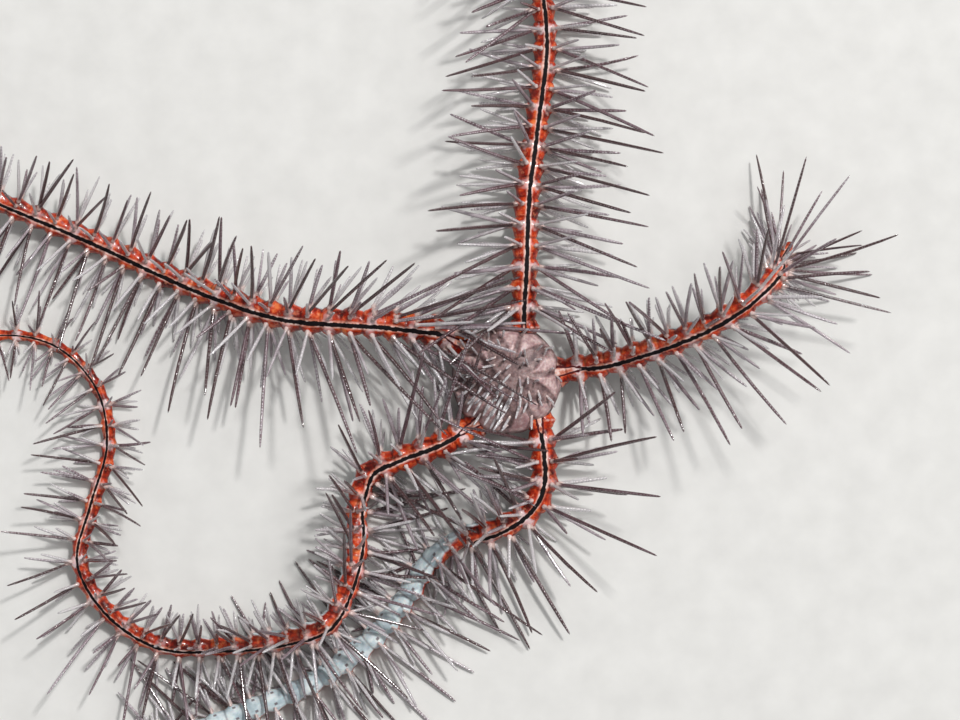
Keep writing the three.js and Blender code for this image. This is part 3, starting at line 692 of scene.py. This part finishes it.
def spine_lines(arm, number):
    """Foot, tip offset, bend, thickness, darkness and place on the sheet of every spine of an
    arm. Each points out from its knob, swept along the arm by an angle that fades from the disc
    outwards, and is lifted, swung or cut short where it would run into something, and kept off
    the floor. In the tuft, where the arm bends down, the topmost ones are longer, darker and
    steeper."""
    joints = np.arange(0, int(arm["length"] / JOINT_PITCH))
    joint, row, hand = (a.ravel() for a in np.meshgrid(
        joints, np.arange(len(SPINE_ROWS)), [-1, 1], indexing="ij"))
    along = (joint + SPINE_PLACE) * JOINT_PITCH
    middle, forward, up, side, half = sections(arm, along)
    rise = np.radians(SPINE_ROWS[row, 0] + grow.uniform(-RISE_STRAY, RISE_STRAY, len(row)))
    at_disc, further, fade = arm["sweep"]
    lean = further + (at_disc - further) * np.exp(-along / fade)
    lean += grow.uniform(-LEAN_STRAY, LEAN_STRAY, len(row))
    lean += SPINE_ROWS[row, 4]
    size = (2 * half / arm["width"]) ** 0.85
    every_other = np.where((row == 1) ^ (joint % 2 == 0), 1.0, SHORTER_ONES)
    at_disc, far_out = arm["spines"]
    fullness = at_disc + (far_out - at_disc) * np.minimum(along / SPINE_CHANGE, 1)
    length = (SPINE_ROWS[row, 1] * fullness * size * every_other
              * grow.uniform(*LENGTH_SHARES, len(row)))
    tuft_from, tuft_to = arm.get("tuft", (0, 0))
    tuft = (row == 0) & (along > tuft_from) & (along < tuft_to)
    rise[tuft] += TUFT_RISE
    lean[tuft] -= TUFT_BACK
    length[tuft] *= TUFT_LONGER
    outward = side * (hand * np.cos(rise))[:, None] + up * np.sin(rise)[:, None]
    skin_at = half * SKIN_SHARE / np.hypot(np.cos(rise), np.sin(rise) / HEIGHT_TO_WIDTH)
    foot = middle + outward * (skin_at + FOOT_OUT)[:, None]
    foot[:, 2] = np.maximum(foot[:, 2], 0.25)
    ahead = np.zeros_like(foot)
    open_still = np.ones(len(row), bool)
    shares = np.linspace(0, 1, 12)[None, :, None]
    for lift, swing, part in TRIES:
        swept = np.radians(lean + swing)[:, None]
        way = outward * np.cos(swept) + forward * np.sin(swept)
        way[:, 2] += lift
        way /= np.linalg.norm(way, axis=1, keepdims=True)
        least = (CLEAR_OF_FLOOR - foot[:, 2]) / (length * part)
        low = way[:, 2] < least
        level = np.hypot(way[:, 0], way[:, 1])
        keep = np.sqrt(np.clip(1 - least**2, 0, 1)) / level
        way[low, :2] *= keep[low, None]
        way[low, 2] = least[low]
        reach = way * (length * part)[:, None]
        blocked = runs_into(foot[:, None] + reach[:, None] * shares, number, along)
        settled = open_still & ~blocked
        ahead[settled] = reach[settled]
        open_still &= blocked
    grown = ~open_still
    bend = grow.normal(0, BEND_STRAY, (len(row), 3)) * np.linalg.norm(ahead, axis=1)[:, None]
    thick = SPINE_ROWS[row, 2] * size**0.6 * grow.uniform(*THICKNESS_SHARES, len(row))
    dark = SPINE_ROWS[row, 3] + tuft * TUFT_DARKER + grow.normal(*DARK_STRAY, len(row))
    dark = np.clip(dark, 0, 1)
    turn = np.radians(90 - SPINE_ROWS[row, 0]) * hand
    return [a[grown] for a in (foot, ahead, bend, thick, dark, laid_flat(arm, along, turn))]


def spine_mesh(foot, ahead, bend, thick, dark, patch):
    """Points, faces, maps and values of many spines at once: rings of five points round a line
    that starts straight and bends with the square of the share of its length. The foot is a
    ball whose rings stand at shares of the spine's thickness; the rod tapers from there."""
    count = len(foot)
    length = np.linalg.norm(ahead, axis=1)
    at_foot = FOOT_RINGS[None, :] * thick[:, None]
    at_rod = at_foot[:, -1:] + ROD_RINGS[None, :] * (length[:, None] - at_foot[:, -1:])
    distance = np.concatenate([at_foot, at_rod], 1)
    share = (distance / length[:, None])[..., None]
    line = foot[:, None] + ahead[:, None] * share + bend[:, None] * share**2
    way = ahead / np.linalg.norm(ahead, axis=1, keepdims=True)
    across = np.cross(way, np.where(np.abs(way[:, 2:]) < 0.9, [[0, 0, 1.0]], [[1.0, 0, 0]]))
    across /= np.linalg.norm(across, axis=1, keepdims=True)
    above = np.cross(across, way)
    spin = np.linspace(0, 2 * np.pi, SPINE_SIDES + 1)[None, :] + grow.uniform(0, 6, (count, 1))
    rim = across[:, None] * np.sin(spin)[..., None] + above[:, None] * np.cos(spin)[..., None]
    radius = np.concatenate([FOOT_SHAPE, ROD_SHAPE])[None, :] * thick[:, None] / 2
    line[..., 2] = np.maximum(line[..., 2], radius + 0.03)
    grid = line[:, :, None] + rim[:, None] * radius[:, :, None, None]
    rings = distance.shape[1]
    joined, cut = tube_faces(rings, SPINE_SIDES)
    each = 2 + (rings - 2) * SPINE_SIDES
    points = np.concatenate([grid[:, 0, :1], grid[:, 1:-1, :-1].reshape(count, -1, 3),
                             grid[:, -1, :1]], 1).reshape(-1, 3)
    faces = (joined[None] + (np.arange(count) * each)[:, None, None]).reshape(-1, 3)
    around = np.broadcast_to(np.linspace(0, 1, SPINE_SIDES + 1), (count, rings, SPINE_SIDES + 1))
    bead = np.stack([np.broadcast_to(distance[..., None], around.shape), around], -1)
    place = bead / np.stack([length, np.ones(count)], 1)[:, None, None]
    place = patch[:, None, None] + (place - 0.5) * PATCH
    maps = {"OFBake": place, "Bead": bead}
    corners = {name: at.reshape(count, -1, 2)[:, cut].reshape(-1, 2) for name, at in maps.items()}
    ring = np.concatenate([[0], np.repeat(np.arange(1, rings - 1), SPINE_SIDES), [rings - 1]])
    # Per point: how far the spine pales towards its tip, its own colour, which also sets how
    # strong the painted highlights on its thorns are.
    paling_and_glint = (grow.uniform(0.1, 1, count)[:, None] * share[:, ring, 0] ** 0.6).ravel()
    return points, faces, corners, {"dark": np.repeat(dark, each), "paling_and_glint": paling_and_glint}


# Spine glass: each spine is one clear crystal of limestone, so it shines and lets light
# through, and it pales towards its tip. Its thorns stand in four rows, 0.34 mm apart, which is
# as fine as shows here, and they get a bump; on the paler spines their tops carry painted
# highlights, near-white beads mixed into the colour.
THORN_PITCH = 0.34
THORN_ROWS = 4
glass = new_material("clear_limestone_spines")
bead_map = add(glass, "ShaderNodeUVMap", {"uv_map": "Bead"})
bead_place = add(glass, "ShaderNodeSeparateXYZ", inputs={0: bead_map.outputs[0]})
dark_here = add(glass, "ShaderNodeAttribute", {"attribute_name": "dark"}).outputs["Fac"]
here = add(glass, "ShaderNodeTexCoord").outputs["Object"]
smoke = add(glass, "ShaderNodeTexNoise", inputs={"Vector": here, "Scale": 1 / (1.6 * MM),
                                                 "Detail": 2.0}).outputs["Fac"]
smoky = add(glass, "ShaderNodeMath", {"operation": "MULTIPLY_ADD"},
            {0: smoke, 1: 0.55, 2: dark_here})
paling_and_glint_here = add(glass, "ShaderNodeAttribute", {"attribute_name": "paling_and_glint"}).outputs["Fac"]
paler_out = add(glass, "ShaderNodeMath", {"operation": "MULTIPLY_ADD"},
                {0: paling_and_glint_here, 1: -0.2, 2: smoky.outputs[0]})
tone = add(glass, "ShaderNodeValToRGB", inputs={0: paler_out.outputs[0]}, stops=[
    (0.25, "#f2edee"), (0.46, "#c6b8be"), (0.7, "#8a7078"), (0.9, "#66444a"),
    (1.0, "#4f2f31")])
foot_here = add(glass, "ShaderNodeMapRange", inputs={"Value": bead_place.outputs["X"],
                                                     1: 0.8, 2: 0.45, 4: 0.75})
footed = add(glass, "ShaderNodeMix", {"data_type": "RGBA"}, {
    0: foot_here.outputs[0], 6: tone.outputs[0], 7: linear("#f2d3c9")})
thorn_stray = add(glass, "ShaderNodeTexNoise", inputs={
    "Vector": here, "Scale": 1 / (0.7 * MM)}).outputs["Fac"]
thorn_along = add(glass, "ShaderNodeMath", {"operation": "MULTIPLY_ADD"},
                  {0: thorn_stray, 1: 0.9, 2: bead_place.outputs["X"]}).outputs[0]
thorn = add(glass, "ShaderNodeMath", {"operation": "PINGPONG"},
            {0: thorn_along, 1: THORN_PITCH / 2}).outputs[0]
thorn_high = add(glass, "ShaderNodeMapRange", {"interpolation_type": "SMOOTHSTEP"}, {
    "Value": thorn, 1: 0.02, 2: THORN_PITCH / 2})
thorn_row = add(glass, "ShaderNodeMath", {"operation": "PINGPONG"},
                {0: bead_place.outputs["Y"], 1: 1 / (2 * THORN_ROWS)}).outputs[0]
row_high = add(glass, "ShaderNodeMapRange", {"interpolation_type": "SMOOTHSTEP"}, {
    "Value": thorn_row, 1: 0.01, 2: 1 / (2 * THORN_ROWS)})
thorn_peak = add(glass, "ShaderNodeMath", {"operation": "MULTIPLY"},
                 {0: thorn_high.outputs[0], 1: row_high.outputs[0]}).outputs[0]
# Painted highlight: at the thorn tops of the paler spines a near-white is mixed into the colour,
# standing in for glints, and less light passes through there.
thorn_glint_spot = add(glass, "ShaderNodeMapRange", inputs={"Value": thorn_peak, 1: 0.24, 2: 0.5})
pale_still = add(glass, "ShaderNodeMapRange", inputs={"Value": dark_here, 1: 1.15, 2: 0.5})
glint_strength = add(glass, "ShaderNodeMath", {"operation": "MULTIPLY"},
              {0: pale_still.outputs[0], 1: paling_and_glint_here})
painted_glint = add(glass, "ShaderNodeMath", {"operation": "MULTIPLY"},
               {0: thorn_glint_spot.outputs[0], 1: glint_strength.outputs[0]})
# The near-white mixed in here is a painted highlight on the thorn tops.
with_painted_glint = add(glass, "ShaderNodeMix", {"data_type": "RGBA"}, {
    0: painted_glint.outputs[0], 6: footed.outputs[2], 7: linear("#fbf6f7")})
thorn_bump = add(glass, "ShaderNodeBump", inputs={
    "Height": thorn_peak, "Strength": 0.6, "Distance": 0.05 * MM})
clearness = add(glass, "ShaderNodeMapRange", inputs={"Value": dark_here, 3: 0.48, 4: 0.2})
foot_or_glint = add(glass, "ShaderNodeMath", {"operation": "MAXIMUM"},
                  {0: foot_here.outputs[0], 1: painted_glint.outputs[0]}).outputs[0]
clear_between = add(glass, "ShaderNodeMix", inputs={
    0: foot_or_glint, 2: clearness.outputs[0], 3: 0.05})
glass_shader = add(glass, "ShaderNodeBsdfPrincipled", inputs={
    "Base Color": with_painted_glint.outputs[2], "Roughness": 0.11, "IOR": 1.6, "Specular IOR Level": 0.9,
    "Transmission Weight": clear_between.outputs[0], "Normal": thorn_bump.outputs[0]})
add(glass, "ShaderNodeOutputMaterial", inputs={0: glass_shader.outputs[0]})

for number, (name, arm) in enumerate(ARMS.items()):
    piece = make_piece(f"spines_{name}", *spine_mesh(*spine_lines(arm, number)), [glass])
    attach(piece, "root")

# Disc spines
# Slim clear spines stand on the skin of the disc between the plates. Those about its middle
# are longest and combed to one side. Each is one crystal with its foot set in the skin.

# Places are spread over the disc as seeds are on a sunflower; those on a plate are left out.
SPINELETS = 125
SEED_TURN = 2.39996
FOOT_SUNK = 0.45
# Where the combed ones stand, how far about there, and the way that they are combed.
COMBED_MIDDLE = np.array([-0.5, -1.2])
COMBED_REACH = 2.6
COMBED_WAY = [-0.95, -1.3, 0]

number = np.arange(SPINELETS)
out = 0.95 * np.sqrt((number + 0.5) / SPINELETS)
angle = number * SEED_TURN
off, close = nearest_arm(angle)
between_plates = shield(out, off, close) < 0.3
out, angle = out[between_plates], angle[between_plates]
outward = np.stack([np.cos(angle), np.sin(angle), np.zeros(len(out))], 1)
foot = outward * (out * 5.4)[:, None]
foot[:, 2] = disc_top(out) - FOOT_SUNK
combed = np.exp(-((foot[:, :2] - COMBED_MIDDLE) ** 2).sum(axis=1) / COMBED_REACH**2)
way = outward * (out * 0.7)[:, None] + grow.uniform(-0.4, 0.4, (len(out), 3))
way += combed[:, None] * COMBED_WAY
way[:, 2] = 0.65 - 0.2 * combed
way /= np.linalg.norm(way, axis=1, keepdims=True)
length = grow.uniform(1.0, 1.8, len(out)) + combed * grow.uniform(1.0, 2.4, len(out))
spinelets = make_piece("disc_spines", *spine_mesh(
    foot, way * length[:, None], grow.normal(0, BEND_STRAY, foot.shape), 0.27 + 0.05 * combed,
    grow.uniform(0, 0.2, len(out)), (DISC_ON_SHEET + foot[:, :2]) / SHEET), [glass])
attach(spinelets, "root")

# Floor and light
# The model lies on a plain pale matt board, under one broad soft light, a smaller one that
# gives the spines sharp highlights beside their painted ones, and a faint one from the other
# side.

FLOOR_SIZE = 8.0

# Pale board: pressed fibre with a matt painted face, clouded so faintly, at about 3 mm, that it
# reads as one even tone.
board = new_material("pale_matt_board")
here = add(board, "ShaderNodeTexCoord").outputs["Object"]
fibre = add(board, "ShaderNodeTexNoise", inputs={"Vector": here, "Scale": 0.3 / MM,
                                                 "Detail": 3.0}).outputs["Fac"]
board_tone = add(board, "ShaderNodeValToRGB", inputs={0: fibre}, stops=[
    (0.3, "#dcdad6"), (0.7, "#e4e2de")])
board_shader = add(board, "ShaderNodeBsdfPrincipled", inputs={
    "Base Color": board_tone.outputs[0], "Roughness": 0.9})
add(board, "ShaderNodeOutputMaterial", inputs={0: board_shader.outputs[0]})
floor_mesh = bpy.data.meshes.new("floor")
corner = FLOOR_SIZE / 2
floor_mesh.from_pydata(
    [(-corner, -corner, 0), (corner, -corner, 0), (corner, corner, 0), (-corner, corner, 0)],
    [], [(0, 1, 2, 3)])
floor_mesh.materials.append(board)
floor = bpy.data.objects.new("floor", floor_mesh)
bpy.context.scene.collection.objects.link(floor)

# Each light's place and width in metres, and its power in watts. All face the model.
LIGHTS = {
    "broad_light": ((0.65, 0.45, 0.95), 0.7, 5.8),
    "small_light": ((0.4, 0.5, 0.95), 0.1, 7.6),
    "fill_light": ((-0.9, -0.4, 0.75), 1.0, 1.2),
}
for name, (place, width, power) in LIGHTS.items():
    lamp = bpy.data.lights.new(name, "AREA")
    lamp.size = width
    lamp.energy = power
    light = bpy.data.objects.new(name, lamp)
    light.location = place
    aim = np.array(place) / np.linalg.norm(place)
    light.rotation_euler = (0, float(np.arccos(aim[2])), float(np.arctan2(aim[1], aim[0])))
    bpy.context.scene.collection.objects.link(light)

surroundings = bpy.data.worlds.new("pale_room")
surroundings.use_nodes = True
surroundings.node_tree.nodes["Background"].inputs["Color"].default_value = linear("#e9edf0")
surroundings.node_tree.nodes["Background"].inputs["Strength"].default_value = 0.34
bpy.context.scene.world = surroundings
bpy.context.scene.view_settings.view_transform = "Standard"

# Camera
# It looks straight down on the model, close enough for the frame to take in 96 mm of floor.

CAMERA_PLACE = (-2.6, 1.9, 227.0)
FRAME_WIDTH = 96.0

lens = bpy.data.cameras.new("camera")
lens.sensor_width = 36
lens.lens = lens.sensor_width * CAMERA_PLACE[2] / FRAME_WIDTH
lens.clip_start = 0.005
lens.dof.use_dof = False
camera = bpy.data.objects.new("camera", lens)
camera.location = [value * MM for value in CAMERA_PLACE]
bpy.context.scene.collection.objects.link(camera)
bpy.context.scene.camera = camera
